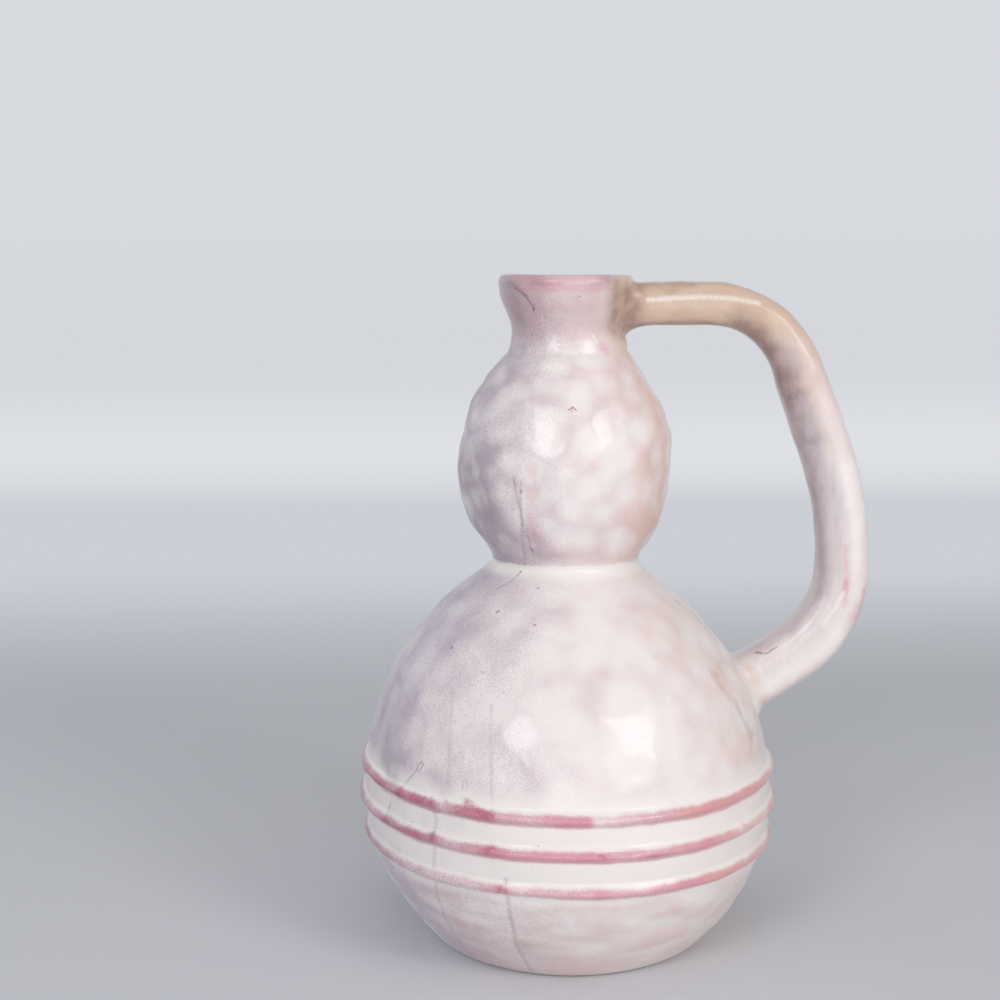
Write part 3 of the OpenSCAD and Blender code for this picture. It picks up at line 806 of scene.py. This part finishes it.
# Marks on the body, some of them painted shade or painted highlight as noted: colour, how they fade, width
# in mm, strength, and the pixels of the dot or line
marks = [
    (TAN, "crisp", 0.34, 0.8, [(568.8, 409.8), (571.6, 409), (572.6, 406.6), (576, 410.4)]),
    (TAN, "crisp", 0.40, 0.6, [(572.4, 411.4)]),
    *((PLUM, "crisp", *speck) for speck in specks),
    (PLUM, "soft", 0.8, 0.6, [(521.1, 492)]),
    (PLUM, "soft", 0.9, 0.6, [(530, 547.6), (533, 550.4)]),
    (GRAPE, "soft", 0.7, 0.42, [(514, 477), (515.4, 492), (520, 509), (522.4, 530), (523.6, 550),
                                (524.8, 564)]),
    (GRAPE, "soft", 0.6, 0.42, [(520.7, 482), (520.4, 508), (522.4, 521), (528.4, 538), (533, 554)]),
    (ROSE, "wash", 3.2, 0.25, [(531, 470), (532, 500), (535, 536)]),
    (PLUM, "soft", 0.5, 0.5, [(521, 571.5), (515, 577.6), (508.4, 583), (497, 588.6)]),
    (SLATE, "crisp", 0.26, 0.7, [(415, 772.6), (421, 761.4), (423.4, 764.6), (418.4, 771.6)]),
    (PLUM, "soft", 0.5, 0.5, [(414, 774), (407.6, 780.6), (400.6, 787.4), (397, 792)]),
    (SLATE, "soft", 0.5, 0.35, [(462.6, 789), (463, 781.6), (466, 780.4), (467.6, 787)]),
    (CRIMSON, "soft", 2.3, 0.7, [(394, 793), (399.5, 793.4)]),
    (PLUM, "soft", 1.3, 0.75, [(395, 793.5), (399, 794)]),
    (CRIMSON, "soft", 1.6, 0.7, [(466.6, 802), (474, 808.4), (483, 814), (491, 816.4)]),
    (PLUM, "soft", 0.9, 0.5, [(432, 798), (431.4, 804)]),
    (PLUM, "soft", 1.1, 0.7, [(432.8, 833), (431.2, 840)]),
    (PLUM, "soft", 0.55, 0.55, [(391, 803), (387, 812), (384.6, 820)]),
    (PLUM, "soft", 1.2, 0.5, [(384, 819), (388, 823)]),
    (CRIMSON, "soft", 1.4, 0.6, [(486, 852), (492, 847.6), (496, 851.4)]),
    (CRIMSON, "soft", 0.9, 0.6, [(600.6, 856), (604.4, 857.4)]),
    (PLUM, "crisp", 0.2, 0.4, [(604, 853.6), (612, 853), (622, 852.6)]),
    (PLUM, "soft", 0.5, 0.45, [(648, 857), (660, 855.6), (672, 853)]),
    (CRIMSON, "soft", 1.3, 0.6, [(499.6, 889), (504.6, 890)]),
    (SLATE, "soft", 1.0, 0.34, run_left),
    (SLATE, "soft", 1.0, 0.46, run_right),
    (SLATE, "soft", 0.55, 0.6, [(379.4, 724), (376.6, 739)]),
    (SLATE, "soft", 0.55, 0.6, [(389.2, 726), (387.4, 740)]),
    (SLATE, "soft", 0.9, 0.30, [(491.6, 706), (491.2, 760), (491.6, 812)]),
    (SLATE, "soft", 0.9, 0.26, [(453, 693), (450, 740), (448, 784)]),
    (GRAPE, "soft", 1.2, 0.5, [(503, 278), (510, 282), (518, 288.6), (526, 296)]),
    (UMBER, "crisp", 0.40, 0.5, [(516, 288), (525, 295.4), (531, 303), (533.6, 311)]),
    (UMBER, "wash", 0.9, 0.6, [(528.4, 299), (532, 305), (534, 311)]),
    (ROSE, "soft", 1.3, 0.55, [(533, 283.4), (546, 282.4), (560, 282.6)]),
    # Painted shade down the far left of the neck.
    (SLATE, "wash", 3.6, 0.50, [(508, 284), (514, 300), (519, 318)]),
    (MILK, "wash", 3.6, 0.25, [(553, 348), (572, 349), (590, 347)]),
    (MILK, "crisp", 0.5, 0.20, [(549, 346.4), (553, 343.4), (562, 344.6), (574, 343), (588, 341.6)]),
    # This short bright stroke is partly the pool's crisp edge and partly painted highlight.
    (MILK, "crisp", 0.7, 0.45, [(593, 335), (597, 342)]),
    (DUSTY, "wash", 5.0, 0.35, [(572, 432), (571, 466)]),
    (ROSE, "soft", 2.2, 0.55, [(602, 347), (605, 350.4)]),
    (BEIGE, "wash", 5.0, 0.85, [(624, 284), (625, 300), (622, 330)]),
    # Painted shade where the neck meets the handle.
    (TAUPE, "wash", 4.4, 0.55, [(613, 284), (616, 300), (613, 328)]),
    (WHITE, "wash", 6.5, 0.85, [(514, 398), (527, 403)]),
    (WHITE, "wash", 4.5, 0.45, [(460, 734), (462, 742)]),
    # The next two darken the far left edges of bulb and dome: partly the glaze's mauve, partly painted
    # shade.
    (SLATE, "wash", 5.0, 0.50, [(466, 462), (474, 488), (488, 512)]),
    (SLATE, "wash", 4.5, 0.45, [(387, 738), (385, 760), (393, 774)]),
    (MAUVE, "wash", 4.0, 0.35, [(434, 776), (446, 784)]),
    # Painted shade that dims the right lamp's highlight on the bulb.
    (DUSTY, "wash", 4.5, 0.30, [(604, 412), (605, 430)]),
    # Darker at the lip's right end; the slate line after it is painted shadow along the lip's top.
    (DUSTY, "wash", 2.4, 0.50, [(592, 281), (606, 283)]),
    (SLATE, "wash", 1.8, 0.34, [(503, 278), (540, 279), (606, 279)]),
    (PEACH, "wash", 5.0, 0.40, [(640, 478), (641, 498), (630, 520)]),
    # More painted shade where the neck meets the handle.
    (TAUPE, "wash", 3.4, 0.62, [(627, 290), (627, 306), (622, 334)]),
    (CRIMSON, "soft", 1.5, 0.6, [(374, 778), (384, 785.6)]),
    (CRIMSON, "soft", 1.4, 0.55, [(410, 796.6), (428, 801)]),
    (CRIMSON, "soft", 0.9, 0.5, [(446, 801.6), (449, 806)]),
    (CRIMSON, "soft", 1.4, 0.5, [(398, 829), (416, 834.6)]),
    (PLUM, "soft", 0.4, 0.4, [(470, 800.4), (474, 806)]),
    (PEACH, "wash", 6.0, 0.75, [(628, 356), (650, 396), (663, 440), (662, 490), (650, 530)]),
    # Painted shade in the two creases on the dome's right.
    (TAUPE, "wash", 2.6, 0.30, crease_high),
    (TAUPE, "wash", 2.6, 0.32, crease_low),
    (MILK, "wash", 4.0, 0.6, [(616, 536), (618, 553)]),
]

# Marks on the handle, written the same way, some of them painted shade or painted highlights as noted
strap_marks = [
    (PLUM, "crisp", 0.45, 0.75, [(756, 652.4), (761, 653.2)]),
    (PLUM, "crisp", 0.28, 0.6, [(761, 653.2), (766, 654), (771, 650.6), (777, 647)]),
    # Down the handle's inner side: partly the glaze's streaks, partly painted shade.
    (TAUPE, "wash", 6.5, 0.72, [(744, 322), (760, 340), (775, 362), (787, 390)]),
    (TAUPE, "wash", 6.0, 0.42, [(790, 382), (803, 412), (812, 440)]),
    (SLATE, "wash", 5.5, 0.40, [(796, 405), (809, 442), (814, 480), (816, 520)]),
    (MAUVE, "wash", 4.0, 0.40, [(815, 520), (822, 556), (822, 590)]),
    (MAUVE, "wash", 4.0, 0.30, [(818, 590), (804, 614), (780, 635), (752, 651)]),
    (DUSTY, "wash", 3.4, 0.4, [(858, 610), (846, 640), (824, 664), (794, 686), (766, 702)]),
    (ROSE, "soft", 1.6, 0.4, [(846, 548), (846, 576), (844, 604)]),
    (ROSE, "soft", 1.3, 0.6, [(846, 582), (845, 592)]),
    (ROSE, "soft", 1.2, 0.6, [(864, 590), (861, 606), (856, 618)]),
    # Painted shade near the neck: along the top run's upper edge and over the upper wad.
    (TAUPE, "wash", 2.8, 0.45, [(640, 284), (660, 287), (690, 284)]),
    (TAUPE, "wash", 4.6, 0.6, [(640, 290), (634, 306), (630, 324)]),
    (TAUPE, "wash", 3.4, 0.5, [(626, 288), (626, 306), (624, 326)]),
    # Painted highlight on the lower bend.
    (MILK, "soft", 0.9, 0.8, [(844, 592), (836, 608), (824, 624)]),
    # Painted shade along the underside of the top run.
    (TAUPE, "wash", 1.6, 0.5, [(640, 325), (680, 323), (724, 324)]),
    # Painted highlight along the top run.
    (MILK, "soft", 1.1, 0.75, [(648, 300), (670, 298.4), (700, 297), (730, 298), (758, 303)]),
    (BEIGE, "wash", 4.0, 0.30, [(812, 385), (826, 420), (835, 450)]),
    # Painted shade along the seam where the lower wad meets the dome.
    (BEIGE, "wash", 2.6, 0.5, [(738, 657), (749, 673), (757, 690), (764, 706)]),
    (MILK, "wash", 4.0, 0.5, [(850, 470), (858, 520), (855, 560)]),
    (MILK, "wash", 5.0, 0.6, [(836, 636), (806, 664), (768, 686)]),
]


# How far a mark's line wavers, in mm, and how many widths from it the mark ends
WASH_DRIFT, LINE_SHAKE = 5.0, 0.6
SOFT_END, CRISP_END = 1.7, 1.25


class Shader:
    """The node tree of a material or a world, with short calls to add to it."""

    def __init__(self, owner, output="OutputMaterial"):
        self.owner = owner
        owner.use_nodes = True
        self.tree = owner.node_tree
        self.tree.nodes.clear()
        self.output = self.tree.nodes.new("ShaderNode" + output)

    def add(self, kind, inputs=None, out=0, **settings):
        node = self.tree.nodes.new("ShaderNode" + kind)
        for key, value in settings.items():
            setattr(node, key, value)
        for key, value in (inputs or {}).items():
            if isinstance(value, bpy.types.NodeSocket):
                self.tree.links.new(value, node.inputs[key])
            else:
                node.inputs[key].default_value = value
        return node.outputs[out]

    def finish(self, surface):
        """End the tree in a surface shader."""
        self.tree.links.new(surface, self.output.inputs["Surface"])
        return self.owner

    def math(self, operation, a, b=0.0):
        return self.add("Math", {0: a, 1: b}, operation=operation)

    def within(self, value, low, high):
        """The value held between two limits. The nodes' own clamps would fill the renderer's stack here."""
        return self.math("MINIMUM", self.math("MAXIMUM", value, low), high)

    def weighted(self, start, *terms):
        """The sum of start and of each value times its weight."""
        total = start
        for value, weight in terms:
            total = self.add("Math", {0: value, 1: weight, 2: total}, operation="MULTIPLY_ADD")
        return total

    def times(self, *values):
        total = values[0]
        for value in values[1:]:
            total = self.math("MULTIPLY", total, value)
        return total

    def vector(self, operation, a, b=(0.0, 0.0, 0.0), out=0):
        return self.add("VectorMath", {0: a, 1: b}, out=out, operation=operation)

    def scaled(self, vector, factor):
        return self.add("VectorMath", {0: vector, "Scale": factor}, operation="SCALE")

    def blend(self, a, b, factor):
        """Colour a turning into colour b."""
        return self.add("Mix", {0: factor, 6: a, 7: b}, out=2, data_type="RGBA")

    def ramp(self, value, low, high, to_low=0.0, to_high=1.0):
        """A smooth step of value between low and high."""
        return self.add("MapRange", {0: value, 1: low, 2: high, 3: to_low, 4: to_high},
                        interpolation_type="SMOOTHSTEP", clamp=False)

    def noise(self, point, size, detail=2.0, roughness=0.5):
        """Noise, about 0.2 to 0.8, whose features are size millimetres."""
        return self.add("TexNoise", {"Vector": point, "Scale": 1 / size, "Detail": detail,
                                     "Roughness": roughness})

    def centred(self, value):
        return self.math("SUBTRACT", value, 0.5)

    def swing(self, *noise):
        """Noise about 0, for what it makes more of here and less of there."""
        return self.centred(self.noise(*noise))

    def attribute(self, name):
        return self.add("Attribute", out=2, attribute_name=name)

    def squashed(self, point, z_share):
        """The point for noise whose features are taller, or flatter where the share is over 1."""
        return self.vector("MULTIPLY", point, (1, 1, z_share))

    def place(self):
        """The point on the object in mm, and its coordinates one by one."""
        p = self.scaled(self.add("TexCoord", out=3), 1 / MM)
        return p, self.add("SeparateXYZ", {0: p}).node.outputs

    def across(self, x, y):
        """Distance from the vertical axis."""
        return self.math("POWER", self.weighted(0.0, (x, x), (y, y)), 0.5)

    def from_line(self, p, a, b):
        """Distance of p from the line between two points."""
        a, b = Vector(a), Vector(b)
        away = self.vector("SUBTRACT", p, a)
        along = self.vector("DOT_PRODUCT", away, (b - a) / max((b - a).length_squared, 1e-6), out=1)
        foot = self.scaled(tuple(b - a), self.within(along, 0.0, 1.0))
        return self.vector("LENGTH", self.vector("SUBTRACT", away, foot), out=1)

    def shaken(self, p, size, reach):
        """The point moved about by noise, so that what is drawn with it wavers."""
        loose = self.add("TexNoise", {"Vector": p, "Scale": 1 / size, "Detail": 1.0}, out=1)
        return self.vector("ADD", p, self.scaled(self.vector("SUBTRACT", loose, (0.5, 0.5, 0.5)), reach))

    def drawn(self, colour, p, grain, places):
        """The colour with the marks over it."""
        shaken, drifted = self.shaken(p, 1.4, LINE_SHAKE), self.shaken(p, 7.0, WASH_DRIFT)
        broken = self.ramp(grain, 0.36, 0.60, 0.30, 1.0)
        uneven = self.ramp(self.noise(p, 6.0, 3), 0.34, 0.62, 0.55, 1.0)
        for mark_colour, edge, width, strength, points in places:
            at = drifted if edge == "wash" else shaken
            gaps = [self.from_line(at, a, b) for a, b in zip(points[:-1], points[1:])]
            gap = gaps[0] if gaps else self.vector("DISTANCE", at, tuple(points[0]), out=1)
            for other in gaps[1:]:
                gap = self.math("MINIMUM", gap, other)
            end, full = (CRISP_END, 0.5) if edge == "crisp" else (SOFT_END, 0.0)
            mask = self.ramp(gap, width * end, width * full, 0.0, strength)
            if edge != "crisp":
                mask = self.math("MULTIPLY", mask, uneven if edge == "wash" else broken)
            colour = self.blend(colour, mark_colour, mask)
        return colour

    def speckle(self, p):
        """What breaks up both glazes: spots of some millimetres, and fine grain."""
        return self.swing(p, 5.5, 3, 0.55), self.noise(p, 0.50, 3, 0.65)

    def coated(self, colour, p, grain, rough_more=0.0):
        """The material in a colour under a glassy coat, with fine orange peel and a soft gloss."""
        height = self.weighted(0.0, (self.noise(p, 2.4), 0.050), (self.noise(p, 0.7), 0.018))
        bump = self.add("Bump", {"Height": height, "Distance": MM, "Strength": 1.0})
        rough = self.math("ADD", self.ramp(grain, 0.3, 0.8, 0.27, 0.37), rough_more)
        return self.finish(self.add("BsdfPrincipled", {
            "Base Color": colour, "Roughness": rough, "Normal": bump, "IOR": 1.5,
            "Specular IOR Level": 0.28, "Coat Weight": 0.30, "Coat Roughness": 0.10, "Coat IOR": 1.5,
            "Sheen Weight": 0.55, "Sheen Roughness": 0.24}))

    def looked_at(self):
        """1 for what the camera, a reflection or clear glass sees, and 0 for the light on things."""
        rays = self.add("LightPath").node.outputs
        seen = self.math("MAXIMUM", rays["Is Camera Ray"], rays["Is Glossy Ray"])
        return self.math("MAXIMUM", seen, rays["Is Transmission Ray"])


def glaze(name, places):
    """The vase's glossy white glaze: thin and mauve where it ran off and white where it pooled, with painted
    shade on its far side and in some marks.
    """
    s = Shader(bpy.data.materials.new(name))
    p, (x, y, z) = s.place()
    across = s.across(x, y)
    side = s.math("DIVIDE", x, s.math("MAXIMUM", across, 1.0))
    cloud = s.swing(p, 30, 3)
    patch = s.swing(s.squashed(p, 0.7), 14, 3)
    mottle, grain = s.speckle(p)
    press, crest, pool, rim, blush = (s.attribute(k) for k in ("press", "crest", "pool", "rim", "blush"))

    # The colour under the white: mauve away from the handle, warm towards it and low on the bowl. The mauve
    # side is partly painted shade on the side away from the lamps, and the warm side is partly painted warm
    # light.
    on_dome = s.ramp(z, 166, 146)
    mauve = s.ramp(s.weighted(side, (cloud, 0.5), (on_dome, 0.10)), -0.10, -0.85)
    stipple = s.ramp(s.weighted(side, (cloud, 0.8)), 0.25, -0.60)
    warm = s.ramp(s.weighted(side, (cloud, 0.6)), 0.30, 1.0)
    neckward = s.ramp(z, 243, 262)
    low = s.times(s.ramp(z, 46, 36), s.ramp(mauve, 1.0, 0.2))
    tint = s.blend(ROSY, s.blend(MAUVE, LILAC, on_dome), s.math("MAXIMUM", mauve, s.times(stipple, 0.7)))
    tint = s.blend(tint, PEACH, warm)
    tint = s.blend(tint, s.blend(DUSTY, BEIGE, s.ramp(side, 0.30, 0.95)), s.times(neckward, 0.7))
    tint = s.blend(tint, PEACH, s.times(low, 0.45))

    # How thin the white is over it, with what adds to it or takes away. Where it follows the mauve side and
    # the far left edge, the thinner white is partly painted shade.
    above_waist = 150, 168
    uneven = s.weighted(0.0, (press, 0.46), (patch, 0.50), (mottle, 0.42))
    dabs = s.swing(s.squashed(p, 1.7), 17, 3, 0.55)
    thin = s.weighted(
        0.12, (s.ramp(z, *above_waist), 0.04), (mauve, 0.42), (warm, 0.22), (blush, 0.26), (neckward, 0.20),
        (s.times(uneven, s.ramp(z, *above_waist, 0.7, 1.0)), 1.0), (s.times(dabs, low), 0.9),
        (s.ramp(z, 20, 4), 0.16), (s.times(s.centred(grain), stipple), 1.1),
        # The first pair here is painted shade: thinner white, so darker, towards the far left edge.
        (s.ramp(side, -0.66, -1.0), 0.17), (s.times(low, s.ramp(side, 0.0, 0.6)), -0.18))
    colour = s.blend(WHITE, tint, s.within(thin, 0.0, 0.85))

    # Runs down the wall, fine dots, and milky pools
    streak = s.noise(s.squashed(p, 0.07), 5.0, 3, 0.6)
    colour = s.blend(colour, SLATE, s.times(s.ramp(streak, 0.50, 0.74), s.weighted(0.02, (mauve, 0.14))))
    dots = s.times(s.ramp(grain, 0.48, 0.64), s.weighted(0.04, (stipple, 0.20), (blush, 0.08)))
    colour = s.blend(colour, GRAPE, dots)
    colour = s.blend(colour, MILK, s.times(pool, 0.85, s.ramp(patch, -0.3, 0.1, 0.7, 1.0)))

    # The pink of the ridges and the lip, with an edge that breaks up into dots
    edge = s.ramp(s.weighted(crest, (s.centred(grain), 0.9), (mottle, 0.4)), 0.05, 1.0)
    hue = s.ramp(s.weighted(side, (patch, 0.8)), -0.05, -0.85)
    pink = s.blend(s.blend(CORAL, ROSE, s.ramp(s.weighted(side, (patch, 1.6)), 0.75, 0.35)), CRIMSON, hue)
    colour = s.blend(colour, pink, s.times(edge, 0.90))
    lip = s.ramp(s.weighted(rim, (s.centred(grain), 0.6), (mottle, 0.9), (patch, 0.6)), 0.1, 1.0)
    colour = s.blend(colour, RIM_PINK, s.times(lip, 0.37))
    colour = s.drawn(colour, p, grain, places)

    # The flat underside is bare clay
    under = s.times(s.math("LESS_THAN", z, 0.35), s.math("LESS_THAN", across, base_r - 1.2))
    colour = s.blend(colour, s.blend(CLAY, BEIGE, s.noise(p, 2.2, 4)), under)
    return s.coated(colour, p, grain, s.times(under, 0.5))


def handle_glaze(name, places):
    """The same glaze where it ran along the handle: warm and thin above, milky below, with painted shade on
    its inner side.
    """
    s = Shader(bpy.data.materials.new(name))
    p, (_, _, z) = s.place()
    patch = s.swing(s.squashed(p, 0.5), 12, 3)
    mottle, grain = s.speckle(p)
    streak = s.noise(s.squashed(p, 0.12), 4.0, 3, 0.6)
    edge, outer = s.attribute("press"), s.attribute("outer")
    warm = s.ramp(s.weighted(z, (s.swing(p, 26), 30)), 210, 264)
    thin = s.weighted(0.14, (warm, 0.80), (patch, 0.5), (mottle, 0.35))
    colour = s.blend(WHITE, s.blend(ROSY, BEIGE, warm), s.within(thin, 0.0, 1.0))
    # Painted shade: slate over the handle's inner side, uneven along streaks.
    inner = s.times(s.ramp(s.weighted(outer, (patch, 0.4)), 0.28, -0.22), s.ramp(z, 262, 246))
    shade = s.times(inner, s.ramp(streak, 0.3, 0.65, 0.28, 0.46), s.ramp(z, 136, 162, 0.45, 1.0))
    colour = s.blend(colour, SLATE, shade)
    colour = s.blend(colour, ROSY, s.times(edge, s.ramp(patch, -0.15, 0.2, 0.0, 0.4)))
    colour = s.blend(colour, PLUM, s.times(s.ramp(grain, 0.48, 0.70), 0.12))
    return s.coated(s.drawn(colour, p, grain, places), p, grain)


def placed(listed, seen):
    """Listed marks, with points of a surface in place of their pixels."""
    return [(*mark[:4], seen.places(mark[4])) for mark in listed]


body_marks = placed(marks, body_seen)


def marks_between(low_z, high_z):
    """The marks that reach a stretch of the body."""
    found = []
    for mark in body_marks:
        edge, width, points = mark[1], mark[2], mark[4]
        margin = SOFT_END * width + (WASH_DRIFT if edge == "wash" else LINE_SHAKE) / 2
        z = [point[2] for point in points]
        if max(z) > low_z - margin and min(z) < high_z + margin:
            found.append(mark)
    return found


# The pieces of the body, each a closed solid. Rings that no one sees lie a little inside the skin.
lap_out, lap_in = wall / 2, wall / 2 + wall / 12
sunk = 1.6
seam_waist_z = (dome_top_z + bulb_foot_z) / 2
core_out = plain_ring(waist_core_r - sunk, seam_waist_z)
core_in = plain_ring(waist_core_r - wall - wall / 6, seam_waist_z)
belly_seat = plain_ring(belly_r - sunk / 2, belly_h)
dome_under_collar = [plain_ring(float(dome(z)) - sunk, z)
                     for z in np.linspace(collar_low_z, dome_top_z, 6)[1:]]
bulb_under_collar = [plain_ring(float(bulb_low(z)) - sunk, z)
                     for z in np.linspace(bulb_foot_z, collar_high_z, 4)[:-1]]


def lap(wide_r, z):
    return [plain_ring(wide_r - lap_out, z), plain_ring(wide_r - lap_in, z + lap_h)]


def inner_wall(radius, z0, z1, n=10):
    return [plain_ring(float(radius(z)) - wall, z) for z in np.linspace(z0, z1, n)]


sections = {
    "base_slab": ("base_glaze", skin_rings("under", "foot")),
    "lower_bowl": ("body_glaze",
                   skin_rings("bowl_a") + skin_rings("bowl_b") + [belly_seat] + lap(belly_r, belly_h)
                   + inner_wall(bowl, belly_h, floor_t)),
    "belly_dome": ("body_glaze",
                   [belly_seat] + skin_rings("dome_a") + skin_rings("dome_b") + dome_under_collar
                   + [core_out, core_in] + inner_wall(dome, dome_top_z - wall, belly_h + lap_h, 16)
                   + lap(belly_r, belly_h)[::-1]),
    "ridge_lower": ("ridge_glaze", skin_rings("ridge_lower")),
    "ridge_middle": ("ridge_glaze", skin_rings("ridge_middle_a", "ridge_middle_b") + [belly_seat]),
    "ridge_upper": ("ridge_glaze", skin_rings("ridge_upper")),
    "waist_collar": ("body_glaze",
                     skin_rings("collar") + bulb_under_collar[::-1] + [core_out] + dome_under_collar[::-1]),
    "bulb_lower": ("body_glaze",
                   [core_out] + bulb_under_collar + skin_rings("bulb_a") + lap(bulb_r, bulb_z)
                   + inner_wall(bulb_low, bulb_z, bulb_foot_z + wall / 2) + [core_in]),
    "bulb_upper": ("body_glaze",
                   skin_rings("bulb_b") + skin_rings("bulb_inside") + lap(bulb_r, bulb_z)[::-1]),
    "neck": ("body_glaze", skin_rings("neck") + skin_rings("neck_inside")),
    "rim_lip": ("rim_glaze", skin_rings("lip")),
}
base_tips = {"tips": [(0, 0, 0), (0, 0, floor_t)], "tip_normals": [(0, 0, -1), (0, 0, 1)]}
for node, (slot, section) in sections.items():
    turned_piece(node, slot, section, **(base_tips if node == "base_slab" else {}))

strap_glaze = handle_glaze("strap_glaze", placed(strap_marks, strap_seen))
for node in ("handle", "handle_wad_upper", "handle_wad_lower"):
    strap_piece(node, strap_glaze)

# The floor, which curves up into the backdrop. The camera and reflections see its colours as written here,
# and past the near floor these are painted light: brighter at the wall's foot, dimmer above it and a little
# brighter again high up.
FLOOR = srgb(219, 221, 226)
FLOOR_FAR = srgb(204, 207, 213)
WALL_FOOT = srgb(223, 225, 229)
WALL = srgb(213, 215, 221)
WALL_HIGH = srgb(216, 218, 223)


def backdrop():
    depth, bend_r, width_m, height_m, behind, arc_steps = 1.6, 0.5, 6.0, 3.0, 1.3, 16
    line = [(-depth, 0.0)]
    for k in range(arc_steps + 1):
        a = k / arc_steps * math.pi / 2
        line.append((behind + bend_r * math.sin(a), bend_r * (1 - math.cos(a))))
    line.append((behind + bend_r, height_m))
    points = [(x, y, z) for x in (-width_m / 2, width_m / 2) for y, z in line]
    n = len(line)
    mesh = bpy.data.meshes.new("studio_sweep")
    mesh.from_pydata(points, [], [(i, n + i, n + i + 1, i + 1) for i in range(n - 1)])
    mesh.polygons.foreach_set("use_smooth", np.ones(len(mesh.polygons), bool))
    sweep = bpy.data.objects.new("studio_sweep", mesh)
    bpy.context.scene.collection.objects.link(sweep)
    s = Shader(bpy.data.materials.new("studio_sweep"))
    _, (x, y, z) = s.place()
    wall_colour = s.blend(FLOOR_FAR, WALL_FOOT, s.ramp(y, 1250, 1520))
    wall_colour = s.blend(wall_colour, WALL, s.ramp(z, 30, 150))
    wall_colour = s.blend(wall_colour, WALL_HIGH, s.ramp(z, 200, 420))
    lit = s.add("BsdfDiffuse", {"Color": FLOOR})
    shown = s.add("Emission", {"Color": wall_colour, "Strength": 1.0})
    afar = s.ramp(s.across(x, y), 700, 1300)
    wall_share = s.times(s.looked_at(), s.math("MAXIMUM", s.ramp(y, 330, 880), afar))
    mesh.materials.append(s.finish(s.add("MixShader", {0: wall_share, 1: lit, 2: shown})))


backdrop()


def softbox(name, azimuth, elevation, distance, size, radiance, colour):
    """A soft box that faces the vase. Azimuth 0 is in front, and it grows towards the handle."""
    a, e = math.radians(azimuth), math.radians(elevation)
    aim = Vector((0, 0, 0.15))
    away = Vector((math.sin(a) * math.cos(e), -math.cos(a) * math.cos(e), math.sin(e)))
    light = bpy.data.lights.new(name, "AREA")
    light.shape = "RECTANGLE"
    light.size, light.size_y = size
    light.energy = radiance * math.pi * size[0] * size[1]
    light.color = colour
    lamp = bpy.data.objects.new(name, light)
    lamp.location = aim + distance * away
    lamp.rotation_euler = away.to_track_quat("Z", "Y").to_euler()
    bpy.context.scene.collection.objects.link(lamp)


NEUTRAL, COOL, SKY, WARM = (1.0, 1.0, 1.0), (0.98, 0.98, 1.0), (0.97, 0.98, 1.0), (1.0, 0.985, 0.97)
softbox("softbox_left", -28, 25, 1.3, (0.36, 0.50), 6.0, COOL)
softbox("softbox_right", 43, 24, 1.3, (0.40, 0.52), 6.0, WARM)
softbox("softbox_front", 12, 6, 2.4, (2.0, 1.2), 2.0, WARM)
softbox("softbox_top", 20, 82, 1.6, (1.2, 1.0), 0.45, NEUTRAL)
softbox("softbox_edge", -120, 20, 1.6, (1.2, 0.90), 0.85, SKY)


def studio_world(strength):
    """Even light from all round, which the camera and reflections see as pale as the backdrop."""
    s = Shader(bpy.data.worlds.new("studio"), "OutputWorld")
    lit = s.add("Background", {"Color": (*SKY, 1.0), "Strength": strength})
    shown = s.add("Background", {"Color": WALL, "Strength": 1.0})
    return s.finish(s.add("MixShader", {0: s.looked_at(), 1: lit, 2: shown}))


bpy.context.scene.world = studio_world(0.38)

# The camera, at the photograph's place
sensor_mm = 36.0
data = bpy.data.cameras.new("camera")
data.sensor_width = sensor_mm
data.lens = sensor_mm * focal_px / frame_px
data.clip_start, data.clip_end = 0.05, 20.0
camera = bpy.data.objects.new("camera", data)
camera.matrix_world = (Matrix.Translation(Vector(camera_at) * MM)
                       @ Matrix.Rotation(math.pi / 2 - camera_down, 4, "X")
                       @ Matrix.Rotation(-camera_roll, 4, "Z"))
bpy.context.scene.collection.objects.link(camera)
bpy.context.scene.camera = camera
bpy.context.scene.view_settings.view_transform = "Standard"
